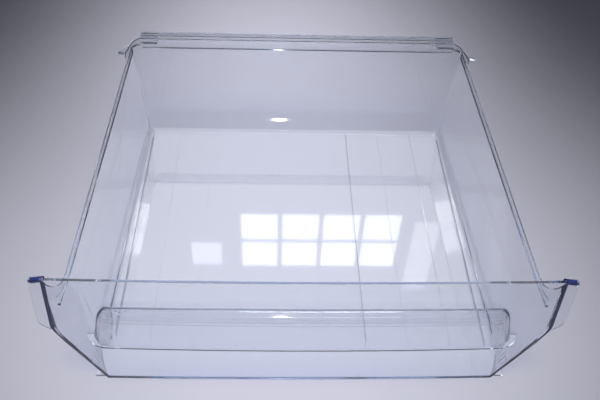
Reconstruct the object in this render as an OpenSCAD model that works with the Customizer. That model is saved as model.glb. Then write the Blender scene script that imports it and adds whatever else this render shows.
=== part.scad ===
// Freezer drawer: one clear injection moulding.
// Origin under the middle of its bounding box, on the surface it stands on. +X right, +Y to the back, +Z up.

/* [Tub] */
// Depth of the drawer behind the front panel, to the outer edge of the rear rim
tub_d = 394; // [300:1:480]
// Height of the side rims above the base
rim_h = 118; // [95:1:150]
// Inside width at the rims, at the front
mouth_w = 408.5; // [330:0.5:490]
// How much narrower the tub is at the back than at the front
plan_taper = 12; // [4:1:20]
// How far each side wall leans in between the rim and the floor
side_draft = 10.5; // [4:0.5:14]
// How far the rear wall leans in between the rim and the floor
rear_draft = 2; // [1:0.5:6]
// Thickness of the walls
wall_t = 2.2; // [1.6:0.1:3]
// Thickness of the floor
floor_t = 2.5; // [1.8:0.1:3.5]
// Inside radius of the upright corners
corner_r = 7; // [5:0.5:12]
// Inside radius along the foot of the side walls
foot_r = 4; // [2.5:0.5:5]
// Inside radius along the foot of the rear wall
heel_r = 24; // [14:1:32]

/* [Rims] */
// Depth of the step inside the side walls, below the rim
step_h = 6; // [3:0.5:10]
// How much the walls are thinned above the step
step_t = 0.7; // [0.3:0.1:1]
// Thickness of the ears, barbs and tie plates
rim_t = 3; // [2:0.1:4]
// Height of the raised middle of the rear rim above the side rims
rear_rise = 6; // [3:0.5:12]
// Width of the rear rim behind the pocket in the rear wall
rear_rim_w = 14; // [10:0.5:20]
// Depth of the lip that hangs from the rear rim
rear_lip_h = 6; // [4:0.5:10]
// Distance from each side wall to the end of the pocket
pocket_inset = 10; // [8:0.5:30]
// How far the pocket steps back
pocket_d = 3.5; // [2:0.1:6]
// Height of the pocket below the side rims
pocket_h = 4; // [2:0.5:30]
// How far the rear ears stand out beyond the walls
ear_out = 6; // [4:0.5:8]
// How far the stop barbs stand out beyond the ears
barb_out = 7; // [4:0.5:10]
// Length of the sloping back of a barb
barb_l = 14; // [8:1:20]

/* [Front panel] */
// Height of the front panel above the base
panel_h = 149; // [125:1:190]
// Thickness of the front panel
panel_t = 2.5; // [1.8:0.1:3.5]
// How far the middle of the panel bows forward
panel_bow = 3; // [0.5:0.1:6]
// Length over which the side walls curve outwards to meet the panel
flare_d = 36; // [20:1:60]
// Thickness of the flared walls at the panel, above the bend
flare_t = 3.6; // [1.8:0.1:4.5]
// Thickness of the flared walls at the panel, along the slanted corners
slant_t = 2.7; // [1.8:0.1:4.5]
// Height at which the slanted lower corners start
bend_h = 80; // [60:1:95]
// Distance from the mouth of the tub to the flare, at the top of the panel
flare_top_out = 9.5; // [6:0.5:20]
// Distance from the mouth of the tub to the flare, at the bend
flare_bend_out = 16; // [10:0.5:30]
// How far the foot of the flare stops inside the mouth of the tub
foot_in = 21.5; // [14:0.5:34]
// How much the bend is softened
bend_soft = 1; // [0.4:0.1:3]
// Width of the thin wing outside the flare
wing_w = 9.5; // [5:0.5:14]
// Thickness of the wing
wing_t = 1.4; // [1:0.1:2.5]
// How far the edge of the wing sweeps back
wing_sweep = 2; // [0.5:0.5:5]
// How far the top of the wing falls away to the side
wing_fall = 4; // [1:0.5:8]

/* [Handle] */
// Distance from the top of the panel to the roof of the hood
hood_drop = 34; // [25:1:60]
// Height of the hood
hood_h = 41; // [28:1:50]
// Distance from the mouth of the tub to the top corners of the hood
hood_inset = 34.75; // [20:1:80]
// How far each end of the hood flares out on the way down
hood_flare = 9.5; // [4:0.5:20]
// How far the lip of the hood stands out from the panel at the ends
hood_out = 13.5; // [11:0.5:30]
// Extra reach of the hood at the middle
hood_bow = 1.5; // [0:0.1:5]
// Thickness of the hood
hood_t = 2.2; // [1.6:0.1:3]
// How far the flange at the foot of the hood spreads at its ends
hood_foot = 5.5; // [3:0.5:10]

/* [Floor ribs] */
// Distance between floor ribs
rib_pitch = 42.5; // [30:0.5:60]
// Width of a floor rib
rib_w = 1.2; // [0.8:0.1:2]
// Height of a floor rib
rib_h = 0.9; // [0.5:0.1:2]
// Height of the outermost ribs
edge_rib_h = 2.5; // [1:0.1:4]
// Distance from the panel to the front ends of the ribs
rib_front = 33; // [20:1:60]

/* [Hidden] */
plastic = [0.76, 0.84, 0.95, 0.5];
round_fn = 40;
sliver = 0.05;
into = 2;
overlap = 1;

// Lines of the tub: half widths and the rear wall's place at height z
lean = side_draft / (rim_h - floor_t);
rear_lean = rear_draft / (rim_h - floor_t);
top_z = rim_h + rear_rise;
rear_rim_edge = tub_d;
pocket_y = rear_rim_edge - rear_rim_w;
rear_y_rim = pocket_y - pocket_d;
taper = plan_taper / 2 / rear_y_rim;
function half_w(y, z) = mouth_w / 2 - taper * y + lean * (z - rim_h);
function rear_y(z) = rear_y_rim + rear_lean * (z - rim_h);

// Lines of the panel
flare_top = mouth_w / 2 + flare_top_out;
flare_bend = mouth_w / 2 + flare_bend_out;
flare_foot = mouth_w / 2 - foot_in;
wing_half = flare_bend + wing_w;
slant = (flare_bend - flare_foot) / bend_h;
wing_from = half_w(0, rim_h) + wall_t;
function bow(x) = -panel_bow * (1 - pow(x / wing_half, 2));
function sweep(x) = abs(x) > wing_from
    ? wing_sweep * pow((abs(x) - wing_from) / (wing_half - wing_from), 2) : 0;
function panel_y(x) = bow(x) + sweep(x);

// Half width of the flare at the panel at height z, less an inset below and one above the bend
function edge_x(z, low_in, high_in) = let (
    a = flare_foot - low_in + slant * z,
    b = flare_bend - high_in - (flare_bend - flare_top) * (z - bend_h) / (panel_h - bend_h)
) (a + b) / 2 - sqrt(pow((a - b) / 2, 2) + bend_soft * bend_soft);
// How far the side walls have curved outwards at y and z, from 0 to 1
function curved(y, z) = pow(max(0, flare_d - y) / (flare_d + into), 2 + 1.6 * min(z, rim_h) / rim_h);
function flare_x(y, z, low_in, high_in, wall) =
    half_w(y, z) + wall + curved(y, z) * (edge_x(z, low_in, high_in) - half_w(0, z) - wall);

// Lines of the hood
roof_z = panel_h - hood_drop;
lip_z = roof_z - hood_h;
hood_top = mouth_w / 2 - hood_inset;
shoulder_h = 14;
shoulder_share = 0.72;
lip_t = 1.8;
lip_bead = 0.5;
hood_front = panel_bow + panel_t + hood_out + hood_bow + lip_bead;

centre_y = (rear_rim_edge - hood_front) / 2;

module drawer() {
    color(plastic) translate([0, -centre_y, 0]) {
        difference() {
            union() {
                tub_walls();
                flare(0);
                rear_rim();
                rear_ears();
            }
            cavity();
            flare_space();
            step();
            pocket();
        }
        tie_plates();
        floor_ribs();
        floor_front();
        front_panel();
        hood();
    }
}

// The tub as a solid block behind the flare, from the base to above the rear rim
module tub_block() {
    r = corner_r + wall_t;
    hull() {
        tub_slice(flare_d, wall_t, 0, top_z);
        for (s = [-1, 1]) {
            translate([
                s * (half_w(rear_y(top_z), top_z) + wall_t - r), rear_y(top_z) + wall_t - r, top_z - wall_t
            ])
                cylinder(r = r, h = wall_t, $fn = round_fn);
            translate([s * (half_w(rear_y(0), 0) + wall_t - r), rear_y(0) - heel_r, heel_r + wall_t])
                rotate([0, 90, 0]) rounded_disc(heel_r + wall_t, r);
        }
    }
}

// The space inside the tub behind the flare, open at the top and the front
module cavity() {
    above = top_z + overlap;
    hull() for (s = [-1, 1]) {
        translate([s * half_w(flare_d, above) - (s > 0 ? 1 : 0), flare_d - sliver, above])
            cube([1, 1, sliver]);
        translate([s * (half_w(flare_d, floor_t) - foot_r), flare_d - sliver, floor_t + foot_r])
            rotate([-90, 0, 0]) cylinder(r = foot_r, h = foot_r, $fn = round_fn);
        translate([s * (half_w(rear_y(above), above) - corner_r), rear_y(above) - corner_r, above])
            cylinder(r = corner_r, h = sliver, $fn = round_fn);
        translate([s * (half_w(rear_y(0), floor_t) - corner_r), rear_y(0) - heel_r, floor_t + heel_r])
            rotate([0, 90, 0]) rounded_disc(heel_r, corner_r);
        translate([s * (half_w(rear_y(0), floor_t) - foot_r), rear_y(0) - heel_r - foot_r, floor_t + foot_r])
            rounded_disc(foot_r, foot_r);
    }
}

// A solid through rings of points, which all have the same number of points
module loft(rings) {
    n = len(rings[0]);
    m = len(rings);
    polyhedron(points = [for (r = rings) each r], faces = concat(
        [[for (i = [n - 1 : -1 : 0]) i], [for (i = [0 : n - 1]) (m - 1) * n + i]],
        [
            for (j = [0 : m - 2], i = [0 : n - 1])
            let (a = j * n + i, b = j * n + (i + 1) % n)
            [a, b, b + n, a + n]
        ]
    ));
}

// Heights of the points of a ring, closer together at the bend
function heights(low, high) = [low, 0.3 * bend_h, 0.6 * bend_h, 0.8 * bend_h, 0.9 * bend_h, 0.95 * bend_h,
    bend_h, 1.05 * bend_h, 1.1 * bend_h, 1.2 * bend_h, high];

// A ring at y from its left-hand and right-hand sides
function ring(y, sides) = concat([for (p = sides) [p[0], y, p[1]]],
    [for (i = [len(sides) - 1 : -1 : 0]) [-sides[i][0], y, sides[i][1]]]);

// Places of the rings: behind the panel they follow the curve, and the last lies inside the tub
flare_steps = 8;
merge = 1.5;
proud = 0.03;
flare_ys = concat([for (i = [0 : flare_steps]) i * (flare_d + into) / flare_steps - into], [flare_d + merge]);

// A thin slice across the tub at y, between two heights and out beyond its inner faces
module tub_slice(y, out, low, high) {
    a = half_w(y, low) + out;
    b = half_w(y, high) + out;
    translate([0, y, 0]) rotate([90, 0, 0]) linear_extrude(sliver)
        polygon([[-a, low], [a, low], [b, high], [-b, high]]);
}

// The flared front of the tub as a solid that runs a little into the tub
module flare(grow) {
    loft([for (y = flare_ys) let (high = rim_h - proud + curved(y, rim_h) * (panel_h - 0.4 - rim_h) + grow)
        ring(y, [for (z = heights(0, high)) [flare_x(y, z, 0.4, 0.4, wall_t + proud) + grow, z]])]);
}

// The space inside the flare, open at the top and towards the panel
module flare_space() {
    low = floor_t + proud;
    high = panel_h + overlap;
    clear = panel_bow + panel_t + into;
    loft([for (y = concat([-clear], flare_ys)) let (at = max(y, -into))
        ring(y, [for (z = heights(low, high)) [flare_x(at, z, slant_t, flare_t, -proud), z]])]);
}

// The side walls are thinned a little above the step
module step() {
    from = 6;
    to = rear_y_rim - corner_r - 2;
    a = half_w(from, rim_h) + step_t;
    b = half_w(to, rim_h) + step_t;
    translate([0, 0, rim_h - step_h]) linear_extrude(2 * step_h)
        polygon([[-a, from], [a, from], [b, to], [-b, to]]);
}

// A disc of radius r with its edge rounded to radius e, centred on the origin
module rounded_disc(r, e) {
    rotate_extrude($fn = round_fn) intersection() {
        translate([r - e, 0]) circle(e, $fn = round_fn);
        translate([0, -e]) square([r + overlap, 2 * e]);
    }
}

// The pocket steps the rear wall back below the raised rim
module pocket() {
    half = half_w(rear_y_rim, rim_h) - pocket_inset;
    translate([-half, pocket_y - wall_t - pocket_d, rim_h - pocket_h])
        cube([2 * half, wall_t + pocket_d, pocket_h + rear_rise + overlap]);
}

module tub_walls() {
    half = half_w(rear_y_rim, rim_h) - pocket_inset + wall_t;
    intersection() {
        tub_block();
        union() {
            translate([-mouth_w, -mouth_w, -1]) cube([2 * mouth_w, 3 * tub_d, rim_h + 1]);
            translate([-half, rear_y_rim - heel_r, 10]) cube([2 * half, tub_d, top_z - 10 - 0.5]);
        }
    }
    translate([-half, pocket_y - pocket_d, rim_h - pocket_h - wall_t])
        cube([2 * half, pocket_d + wall_t, pocket_h + rear_rise + wall_t - 1]);
}

ear_y = tub_d - 34;
function outer_w(y) = half_w(y, rim_h) + wall_t;

// The ears at the rear corners, with the barbs that stop the drawer
module rear_ears() {
    for (s = [0, 1]) mirror([s, 0, 0]) translate([0, 0, rim_h - rim_t - 0.2]) linear_extrude(rim_t) {
        ear();
        barb();
    }
}

module ear() {
    swell = 24;
    round_r = 10;
    x = outer_w(ear_y);
    hull() {
        translate([x - 2 * wall_t, ear_y - swell]) square([2 * wall_t, sliver]);
        translate([x + ear_out - 2, ear_y - 2]) circle(2, $fn = round_fn);
        translate([x - wall_t, ear_y]) square([wall_t, round_r]);
        translate([x - round_r, rear_rim_edge - round_r - 2]) circle(round_r, $fn = round_fn);
        translate([x - 3 * round_r, rear_rim_edge - round_r]) square([round_r, round_r - 2]);
    }
}

module barb() {
    x = outer_w(ear_y) + ear_out;
    polygon([
        [x - ear_out, ear_y - 1], [x + barb_out, ear_y - 1],
        [x + barb_out, ear_y + 1], [x - ear_out, ear_y + barb_l]
    ]);
}

// Flat plates at rim height that tie the side walls to the panel and the flare
plate_front = 8;

module tie_plates() {
    back = 21;
    inner = half_w(back, rim_h);
    edge = outer_w(0);
    outer = flare_bend;
    intersection() {
        flare(-0.6);
        for (s = [0, 1]) mirror([s, 0, 0])
        translate([0, 0, rim_h - rim_t - 0.9]) linear_extrude(rim_t) difference() {
            polygon([
                [inner - 0.4, -into], [inner + 1.4, -into],
                [edge + 1.5, plate_front - 3], [edge + 6, plate_front - 0.5],
                [outer, plate_front], [outer, back], [inner - 0.4, back]
            ]);
            polygon([[edge + 1.5, back - 6.5], [edge + 2.8, plate_front + 2.5],
                [edge + 5.5, plate_front + 3], [edge + 4.5, plate_front + 5]]);
        }
    }
}

// Raised rim along the back, with a hanging lip
module rear_rim() {
    half = half_w(rear_y_rim, rim_h) - pocket_inset + wall_t;
    translate([-half, rear_y_rim, top_z - rim_t]) cube([2 * half, rear_rim_edge - rear_y_rim, rim_t]);
    translate([-half, rear_rim_edge - wall_t, top_z - rear_lip_h]) cube([2 * half, wall_t, rear_lip_h]);
}

module floor_ribs() {
    from = rib_front;
    to = rear_y(0) - heel_r;
    edge = half_w(rear_y(0), floor_t) - foot_r - rib_w;
    count = floor((edge - rib_pitch / 4) / rib_pitch + 0.5);
    for (s = [-1, 1]) {
        for (i = [0 : count - 1]) rib(s * (i + 0.5) * rib_pitch, from, to, rib_h);
        rib(s * edge, from, to, edge_rib_h);
    }
}

module rib(x, from, to, h) {
    translate([x - rib_w / 2, from, floor_t - sliver]) cube([rib_w, to - from, h + sliver]);
}

// Plan of a plate that follows the bow of the panel, between two distances in front of its rear face
module bowed_plan(back, front, half) {
    steps = 24;
    xs = [for (i = [0 : steps]) half * (2 * i / steps - 1)];
    polygon(concat(
        [for (x = xs) [x, panel_y(x) - back]],
        [for (i = [steps : -1 : 0]) [xs[i], panel_y(xs[i]) - front]]
    ));
}

// A front outline given by its children, as a bowed plate
module bowed_plate(back, front) {
    intersection() {
        linear_extrude(panel_h + overlap) bowed_plan(back, front, wing_half + overlap);
        translate([0, overlap + wing_sweep, 0]) rotate([90, 0, 0])
            linear_extrude(hood_front + 2 * overlap + wing_sweep) children();
    }
}

// The outline with the wings, which run out along the slanted corners
module wing_outline() {
    r = 9;
    low_z = 0.94 * bend_h;
    hull() for (s = [-1, 1]) {
        translate([s * (flare_foot + slant * low_z - 0.5) - (s > 0 ? 1 : 0), low_z]) square([1, sliver]);
        translate([s * (wing_half - r), bend_h + r - 1]) circle(r, $fn = 2 * round_fn);
        translate([s * wing_top - (s > 0 ? 1 : 0), panel_h - wing_fall]) square([1, sliver]);
        translate([s * flare_top - (s > 0 ? 1 : 0), panel_h - sliver]) square([1, sliver]);
    }
}

wing_top = flare_top + wing_w + 1;

// The outline of the panel proper
module panel_outline() {
    side = [for (z = heights(0, panel_h)) [edge_x(z, 0, 0), z]];
    polygon(concat(side, [for (i = [len(side) - 1 : -1 : 0]) [-side[i][0], side[i][1]]]));
}

module front_panel() {
    bowed_plate(0, panel_t) panel_outline();
    bowed_plate(0, wing_t) wing_outline();
    for (s = [-1, 1]) wing_bead(s);
}

// A bead along the top of each wing
module wing_bead(s) {
    r = 1.6;
    hull() {
        bead_end(s * (flare_top - r), panel_h - r - 0.3);
        bead_end(s * (wing_top - r), panel_h - wing_fall - r + 0.6);
    }
}

module bead_end(x, z) {
    translate([x, panel_y(x) + 2.5, z]) rotate([90, 0, 0]) cylinder(r = 1.6, h = 2 + panel_t, $fn = 16);
}

// The floor runs on to the bowed panel, and its front corners stand out beyond the panel's foot
module floor_front() {
    half = flare_foot - 3;
    steps = 12;
    translate([0, 0, 0.2]) linear_extrude(floor_t - 0.4) polygon(concat(
        [[-half, into + 1], [half, into + 1]],
        [for (i = [0 : steps]) let (x = half * (1 - 2 * i / steps)) [x, panel_y(x) - panel_t / 2]]
    ));
    wide = half_w(0, 0) + wall_t - 1.2;
    translate([0, 0, 0.1]) linear_extrude(floor_t - 0.6) polygon([
        [-wide, 0.3 - into], [wide, 0.3 - into], [wide - 1, flare_d + 3], [1 - wide, flare_d + 3]
    ]);
}

// Plan of the hood at half width w, reaching d in front of the panel's front face
module hood_plan(w, d, inset) {
    steps = 10;
    root = 0.8;
    end_r = min(d * 1.4, 22);
    reach = d - inset + root;
    side = w - 1.4 * inset;
    flat = side - end_r;
    right = [for (i = [0 : 2 * steps])
        let (
            a = i < steps ? 0 : 90 * (i - steps) / steps,
            x = i < steps ? flat * i / steps : flat + end_r * sin(a)
        )
            [x, panel_y(x) - panel_t + root - (reach + hood_bow * (1 - pow(x / w, 2))) * cos(a)]];
    n = len(right);
    polygon(concat(
        right,
        [[side, into], [-side, into]],
        [for (i = [n - 1 : -1 : 1]) [-right[i][0], right[i][1]]]
    ));
}

// The hood's shape as a solid, or the space under it when inset is its thickness
module hood_block(inset) {
    steps = 6;
    flat_d = 1;
    shoulder_d = hood_out * shoulder_share;
    hull() {
        for (i = [0 : steps])
        let (a = 90 * i / steps, z = roof_z - shoulder_h + (shoulder_h - inset) * cos(a))
            translate([0, 0, z - sliver]) linear_extrude(sliver)
                hood_plan(hood_half(z), flat_d + inset + (shoulder_d - flat_d - inset) * sin(a), inset);
        translate([0, 0, lip_z - (inset > 0 ? overlap : 0)]) linear_extrude(sliver)
            hood_plan(hood_half(lip_z), hood_out, inset);
    }
}

function hood_half(z) = let (down = (roof_z - z) / hood_h)
    hood_top + hood_flare * down + 4 * (1 - pow(1 - min(down * 3, 1), 2));

module hood() {
    intersection() {
        difference() {
            union() {
                hood_block(0);
                translate([0, 0, lip_z]) linear_extrude(lip_t)
                    hood_plan(hood_half(lip_z) + hood_foot, hood_out + lip_bead, 0);
            }
            hood_block(hood_t);
        }
        translate([0, 0, lip_z - into]) linear_extrude(hood_h + 2 * into)
            bowed_plan(panel_t / 2, 2 * hood_front, wing_half);
    }
}

drawer();
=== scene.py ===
# Looks of the freezer drawer: clear pale blue plastic on a pale floor, seen as in the photograph.
import math

import bmesh
import bpy
from mathutils import Matrix, Vector


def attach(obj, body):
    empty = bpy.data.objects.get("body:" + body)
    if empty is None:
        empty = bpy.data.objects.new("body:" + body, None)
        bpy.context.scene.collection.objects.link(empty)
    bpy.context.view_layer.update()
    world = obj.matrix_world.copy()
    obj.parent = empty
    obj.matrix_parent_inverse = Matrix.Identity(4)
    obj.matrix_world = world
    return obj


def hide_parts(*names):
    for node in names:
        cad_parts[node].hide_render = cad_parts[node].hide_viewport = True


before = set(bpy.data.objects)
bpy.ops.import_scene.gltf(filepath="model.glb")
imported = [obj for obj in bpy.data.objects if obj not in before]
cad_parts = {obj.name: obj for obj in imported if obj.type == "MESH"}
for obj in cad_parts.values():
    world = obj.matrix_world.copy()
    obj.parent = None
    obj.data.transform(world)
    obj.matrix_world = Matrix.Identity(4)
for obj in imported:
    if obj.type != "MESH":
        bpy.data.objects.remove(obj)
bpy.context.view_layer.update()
scene = bpy.context.scene
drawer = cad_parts["drawer"]


def socket(node, name, value):
    node.inputs[name].default_value = value


def clear_plastic():
    """Clear polystyrene: almost clear through a wall, blue where light runs along it."""
    mat = bpy.data.materials.new("clear_plastic")
    mat.use_nodes = True
    nodes, links = mat.node_tree.nodes, mat.node_tree.links
    nodes.clear()
    out = nodes.new("ShaderNodeOutputMaterial")
    body = nodes.new("ShaderNodeBsdfPrincipled")
    socket(body, "Base Color", (0.93, 0.945, 0.97, 1))
    socket(body, "Transmission Weight", 1.0)
    socket(body, "IOR", 1.55)
    socket(body, "Roughness", 0.03)
    # Lamps shine through the plastic, a little dimmed
    veil = nodes.new("ShaderNodeBsdfTransparent")
    socket(veil, "Color", (0.97, 0.972, 0.985, 1))
    path = nodes.new("ShaderNodeLightPath")
    mix = nodes.new("ShaderNodeMixShader")
    links.new(path.outputs["Is Shadow Ray"], mix.inputs[0])
    links.new(body.outputs[0], mix.inputs[1])
    links.new(veil.outputs[0], mix.inputs[2])
    links.new(mix.outputs[0], out.inputs["Surface"])
    depth = nodes.new("ShaderNodeVolumeAbsorption")
    socket(depth, "Color", (0.12, 0.40, 0.74, 1))
    socket(depth, "Density", 4.5)
    links.new(depth.outputs[0], out.inputs["Volume"])
    return mat


def plain(name, colour, roughness=0.4):
    """An even colour without gloss."""
    mat = bpy.data.materials.new(name)
    mat.use_nodes = True
    node = mat.node_tree.nodes["Principled BSDF"]
    socket(node, "Base Color", (*colour, 1))
    socket(node, "Roughness", roughness)
    socket(node, "Specular IOR Level", 0.0)
    return mat


def link(name, mesh, mat):
    obj = bpy.data.objects.new(name, mesh)
    scene.collection.objects.link(obj)
    mesh.materials.append(mat)
    return obj


# Corners closer than this are one corner, in metres
WELD = 1e-7
SHARP = math.radians(28)
# The side walls' flare: faces in front of this y, above this z and turned to the side
FLARE_Y, FLARE_Z, FLARE_TURN = -0.15, 0.03, 0.35


def in_flare(face):
    _, y, z = face.center
    return y < FLARE_Y and z > FLARE_Z and abs(face.normal.x) > FLARE_TURN


def shell(node):
    """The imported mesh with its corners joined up, so that the flared walls shade smoothly."""
    work = bmesh.new()
    work.from_mesh(node.data)
    bmesh.ops.remove_doubles(work, verts=work.verts, dist=WELD)
    mesh = bpy.data.meshes.new("drawer_shell")
    work.to_mesh(mesh)
    work.free()
    mesh.shade_smooth()
    mesh.set_sharp_from_angle(angle=SHARP)
    for face in mesh.polygons:
        face.use_smooth = in_flare(face)
    obj = link("drawer_shell", mesh, clear_plastic())
    even = obj.modifiers.new("even", "WEIGHTED_NORMAL")
    even.mode = "FACE_AREA"
    even.weight = 50
    even.keep_sharp = True
    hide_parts("drawer")
    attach(obj, "root")


shell(drawer)

# Lines of the front panel, in millimetres as in the part's source, with y from the panel's rear face
CENTRE_Y = 186.5
MOUTH_HALF = 204.25
WALL_T = 2.2
BEND_H, PANEL_H = 80.0, 149.0
FOOT, BEND, TOP = MOUTH_HALF - 21.5, MOUTH_HALF + 16.0, MOUTH_HALF + 9.5
WING_HALF, WING_TOP = BEND + 9.5, TOP + 10.5
BOW, SWEEP = 3.0, 2.0
EDGE_ROUND = 1.0


def panel_y(x):
    """The panel's rear face: bowed to the front in the middle, its wings swept back."""
    bow = -BOW * (1 - (x / WING_HALF) ** 2)
    out = max(0.0, x - MOUTH_HALF - WALL_T) / (WING_HALF - MOUTH_HALF - WALL_T)
    return bow + SWEEP * out * out


def edge_x(z):
    """The panel's side edge: out to the bend, then in to the top, rounded where they meet."""
    low = FOOT + (BEND - FOOT) / BEND_H * z
    high = BEND - (BEND - TOP) * (z - BEND_H) / (PANEL_H - BEND_H)
    return (low + high) / 2 - math.sqrt(((low - high) / 2) ** 2 + EDGE_ROUND)


def strip(name, rings, mat):
    """A bar inside the plastic, through rings of four points each, in the part's frame."""
    mesh = bpy.data.meshes.new(name)
    points = [(x / 1000, (y - CENTRE_Y) / 1000, z / 1000) for ring in rings for x, y, z in ring]
    faces = [(3, 2, 1, 0), tuple(len(points) - 4 + i for i in range(4))]
    for j in range(len(rings) - 1):
        for i in range(4):
            a, b = 4 * j + i, 4 * j + (i + 1) % 4
            faces.append((a, b, b + 4, a + 4))
    mesh.from_pydata(points, [], faces)
    work = bmesh.new()
    work.from_mesh(mesh)
    bmesh.ops.recalc_face_normals(work, faces=work.faces)
    work.to_mesh(mesh)
    work.free()
    obj = link(name, mesh, mat)
    obj.visible_shadow = False
    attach(obj, "root")


# Sections of the bars, in millimetres
EDGE_IN = 0.5
PANEL_NEAR, PANEL_FAR = 0.5, 2.0
BEAD_BACK, BEAD_FRONT, BEAD_HALF = 2.0, -1.5, 1.1
EAR_LOW, EAR_HIGH = 115.4, 117.2
HOOD_NEAR, HOOD_FAR, HOOD_HALF = 2.9, 3.7, 0.35
LINE_LOW, LINE_HIGH = 0.8, 1.8


def edge_ring(side, z, width):
    """In the panel, beside its edge."""
    x = edge_x(z) - EDGE_IN
    corners = (x, PANEL_NEAR), (x, PANEL_FAR), (x - width, PANEL_FAR), (x - width, PANEL_NEAR)
    return [(side * a, panel_y(a) - b, z) for a, b in corners]


def bead_ring(side, x, z):
    """In the bead along the wing's top."""
    corners = ((BEAD_BACK, BEAD_HALF), (BEAD_BACK, -BEAD_HALF),
               (BEAD_FRONT, -BEAD_HALF), (BEAD_FRONT, BEAD_HALF))
    return [(side * x, panel_y(x) + a, z + b) for a, b in corners]


def ear_ring(side, x, y, width):
    """In the ear, beside its edge."""
    corners = (x, EAR_LOW), (x, EAR_HIGH), (x - width, EAR_HIGH), (x - width, EAR_LOW)
    return [(side * a, y, z) for a, z in corners]


def hood_ring(side, x, z, level):
    """Across the hood's wall where it leaves the panel: an upright wall at level 0, the roof at 1."""
    a, b = HOOD_HALF * (1 - level), HOOD_HALF * level
    corners = (1, HOOD_NEAR), (1, HOOD_FAR), (-1, HOOD_FAR), (-1, HOOD_NEAR)
    return [(side * (x + s * a), panel_y(x) - d, z + s * b) for s, d in corners]


def floor_ring(x, y, width):
    """In the drawer's floor."""
    half = width / 2
    corners = (half, LINE_HIGH), (-half, LINE_HIGH), (-half, LINE_LOW), (half, LINE_LOW)
    return [(x + a, y, z) for a, z in corners]


# The courses of the bars: heights, then (z, width), (x, y, width), (x, z) and (x, z, level)
SLANT = (1, 40, 66, 73)
SLANT_WIDTH = 1.5
BAND = ((73.3, 1.7), (77, 2.2), (81, 2.8), (86, 3.3), (94, 3.4), (120, 3.4), (146, 3.4))
EAR = ((201.1, 340, 0.8), (205.4, 356, 1.2), (205.7, 359, 1.2),
       (201.9, 375, 0.8), (199.3, 384, 0.8), (193.5, 390, 0.8))
BEAD = ((TOP - 1.6, 147.1), (WING_TOP - 1.6, 144.0))
HOOD = ((179.3, 82, 0), (176.6, 95, 0), (173.9, 105, 0), (171.3, 110, 0.3),
        (169.2, 113.4, 0.7), (166, 113.9, 1), (100, 113.9, 1), (0, 113.9, 1))

# Painted shade: dark bars inside the plastic along the panel's edges, the ears, the wings' beads and
# the hood's line stand in for the dark lines that these edges show where light bends and reflects
# inside them; the navy of the bands and beads is partly the plastic's own blue seen along its length
slant_shade = plain("slant_shade", (0.1, 0.11, 0.16))
band_blue_and_shade = plain("band_blue_and_shade", (0.035, 0.055, 0.24))
for side, name in ((-1, "left"), (1, "right")):
    strip("slant_shade_" + name, [edge_ring(side, z, SLANT_WIDTH) for z in SLANT], slant_shade)
    strip("band_blue_and_shade_" + name, [edge_ring(side, *p) for p in BAND], band_blue_and_shade)
    strip("ear_shade_" + name, [ear_ring(side, *p) for p in EAR], slant_shade)
    strip("bead_blue_and_shade_" + name, [bead_ring(side, *p) for p in BEAD], band_blue_and_shade)

# Painted shade: a dark bar inside the plastic along the hood's line, where its wall leaves the panel
hood_left = [hood_ring(-1, *p) for p in HOOD]
hood_right = [hood_ring(1, *p) for p in HOOD[-2::-1]]
strip("hood_shade", hood_left + hood_right, plain("hood_shade", (0.2, 0.22, 0.3)))

# Fine dark lines of painted shade along the floor, where its clear ribs show dark, as name, x, far end
# and width: two near the side walls and one right of the middle
LINE_START = 36
LINES = (("left", -182.5, 340, 1.2), ("right", 183.0, 340, 1.2), ("middle", 65.0, 350, 0.5))
line_shade = plain("line_shade", (0.16, 0.17, 0.24))
for name, x, far, width in LINES:
    strip("line_shade_" + name, [floor_ring(x, y, width) for y in (LINE_START, far)], line_shade)

FLOOR_HALF = 3.0
FLOOR_DROP = 0.0002


def floor():
    h = FLOOR_HALF
    mesh = bpy.data.meshes.new("floor")
    mesh.from_pydata([(-h, -h, 0), (h, -h, 0), (h, h, 0), (-h, h, 0)], [], [(0, 1, 2, 3)])
    obj = link("floor", mesh, plain("pale_floor", (0.65, 0.65, 0.755), 0.9))
    obj.location.z = -FLOOR_DROP


floor()


def aimed(data, place, target):
    obj = bpy.data.objects.new(data.name, data)
    scene.collection.objects.link(obj)
    obj.location = place
    obj.rotation_euler = (Vector(target) - Vector(place)).to_track_quat("-Z", "Y").to_euler()
    return obj


def lamp(name, place, target, size, power, colour=(1, 1, 1)):
    data = bpy.data.lights.new(name, "AREA")
    data.shape = "RECTANGLE"
    data.size, data.size_y = size
    data.energy = power
    data.color = colour
    return aimed(data, place, target)


def bright(name, place, target, size, power):
    """Something bright in the room that shows in the plastic and lights nothing."""
    obj = lamp(name, place, target, size, power, (0.95, 0.97, 1.0))
    obj.visible_diffuse = False


def pool(place, target, power, angle):
    """A soft round pool of light whose lamp shows in nothing."""
    data = bpy.data.lights.new("pool", "SPOT")
    data.energy = power
    data.color = (0.98, 0.98, 1.0)
    data.spot_size = math.radians(angle)
    data.spot_blend = 1.0
    data.shadow_soft_size = 0.2
    obj = aimed(data, place, target)
    obj.visible_glossy = False
    obj.visible_transmission = False


# The photograph's camera, fitted to the rims, the panel and the lines on the floor
LENS_PX, PHOTO_W_PX = 700.0, 600.0
SENSOR_MM = 36.0
EYE = Vector((-0.0284, -0.5329, 0.5984))
PITCH, YAW, ROLL = (math.radians(a) for a in (45.90, -3.14, -2.79))

ahead = Vector((0, math.cos(PITCH), -math.sin(PITCH)))
down = Vector((0, -math.sin(PITCH), -math.cos(PITCH)))
right = Vector((1, 0, 0))
turn = Matrix.Rotation(YAW, 3, "Z")
ahead, down, right = turn @ ahead, turn @ down, turn @ right
across = math.cos(ROLL) * right + math.sin(ROLL) * down
low = -math.sin(ROLL) * right + math.cos(ROLL) * down

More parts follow.
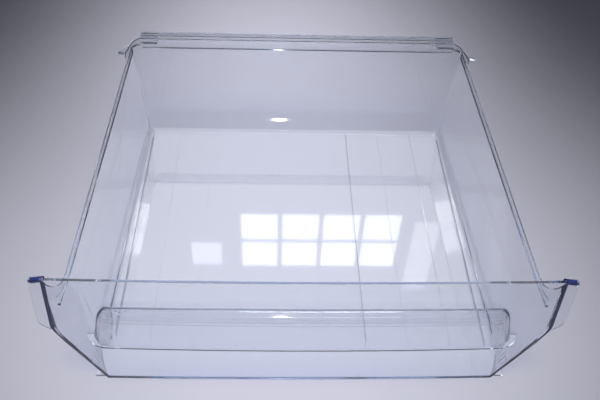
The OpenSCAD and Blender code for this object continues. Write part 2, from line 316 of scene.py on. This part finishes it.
cam_data = bpy.data.cameras.new("camera")
cam_data.sensor_fit = "HORIZONTAL"
cam_data.sensor_width = SENSOR_MM
cam_data.lens = LENS_PX * SENSOR_MM / PHOTO_W_PX
camera = bpy.data.objects.new("camera", cam_data)
scene.collection.objects.link(camera)
basis = Matrix((across, -low, -ahead)).transposed()
camera.matrix_world = Matrix.Translation(EYE) @ basis.to_4x4()
scene.camera = camera

# A flash beside the camera, and pools of light from above: two in one place, and one behind
lamp("flash", EYE + Vector((0.012, -0.02, 0.05)), (0, 0, 0), (0.02, 0.010), 0.9)
pool((-0.03, -0.45, 1.7), (-0.02, -0.06, 0), 85.0, 37.0)
pool((-0.03, -0.45, 1.7), (-0.02, -0.05, 0), 26.0, 25.0)
pool((-0.03, 0.05, 1.9), (-0.03, 0.46, 0), 96.0, 21.0)

# The room behind the drawer: the window's panes, whose image lies on the drawer's floor, and a wall
PANE_W, PANE_H, BAR = 0.165, 0.17, 0.022
WINDOW_X, WINDOW_Y, WINDOW_Z = -0.09, 1.6, 1.79
for column in range(4):
    for row in range(2):
        x, z = WINDOW_X + column * (PANE_W + BAR), WINDOW_Z + row * (PANE_H + BAR)
        bright("pane", (x, WINDOW_Y, z), (x, 0, z), (PANE_W, PANE_H), 0.36)
bright("left_pane", (-0.34, WINDOW_Y, 1.98), (-0.34, 0, 1.98), (0.14, 0.16), 0.16)
bright("right_pane", (0.68, WINDOW_Y, 2.0), (0.68, 0, 2.0), (0.12, 0.5), 0.28)
bright("room_wall", (0, 1.75, 2.1), (0, 0, 0), (2.6, 1.5), 25.0)

world = bpy.data.worlds.new("world")
scene.world = world
world.use_nodes = True
backdrop = world.node_tree.nodes["Background"]
socket(backdrop, "Color", (0.88, 0.90, 1.0, 1))
socket(backdrop, "Strength", 0.06)

# Light takes many turns inside the clear walls, and the sharp patches that it would throw are left out
BOUNCES = 160
scene.view_settings.view_transform = "Standard"
scene.cycles.caustics_refractive = False
scene.cycles.caustics_reflective = False
scene.cycles.max_bounces = BOUNCES
scene.cycles.transmission_bounces = BOUNCES
scene.cycles.glossy_bounces = BOUNCES
scene.cycles.transparent_max_bounces = BOUNCES
